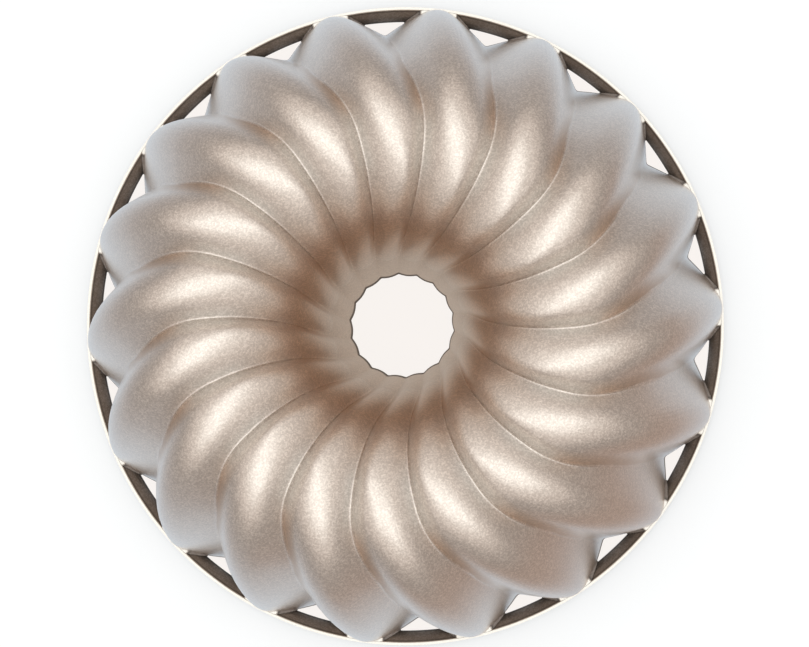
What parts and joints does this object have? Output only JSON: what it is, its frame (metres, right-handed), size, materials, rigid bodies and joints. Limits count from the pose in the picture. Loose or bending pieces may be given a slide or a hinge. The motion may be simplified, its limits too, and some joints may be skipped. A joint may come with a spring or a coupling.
{
  "type": "kugelhopf mould",
  "caption": "Swirled fluted ring-cake mould with an open central chimney, standing mouth down on a flat rim ring that is held off the flutes by a lug under each tip.",
  "frame": {"origin": "on the axis of the chimney, in the plane of the mouth that the mould stands on", "axes": "+Z along the chimney from the mouth to the crown; +X through the tip of the first flute"},
  "size_m": [0.2574, 0.2574, 0.0915],
  "materials": {
    "body_coating": "satin champagne metallic non-stick coating",
    "chimney_coating": "satin champagne metallic non-stick coating",
    "rim_coating": "satin bronze metallic non-stick coating",
    "lug_coating": "satin bronze metallic non-stick coating"
  },
  "bodies": {
    "root": {"fluted_shell": "body_coating", "chimney": "chimney_coating", "rim_ring": "rim_coating", "rim_lug_01": "lug_coating", "rim_lug_02": "lug_coating", "rim_lug_03": "lug_coating", "rim_lug_04": "lug_coating", "rim_lug_05": "lug_coating", "rim_lug_06": "lug_coating", "rim_lug_07": "lug_coating", "rim_lug_08": "lug_coating", "rim_lug_09": "lug_coating", "rim_lug_10": "lug_coating", "rim_lug_11": "lug_coating", "rim_lug_12": "lug_coating", "rim_lug_13": "lug_coating", "rim_lug_14": "lug_coating", "rim_lug_15": "lug_coating", "rim_lug_16": "lug_coating", "rim_lug_17": "lug_coating", "rim_lug_18": "lug_coating"}
  },
  "joints": []
}
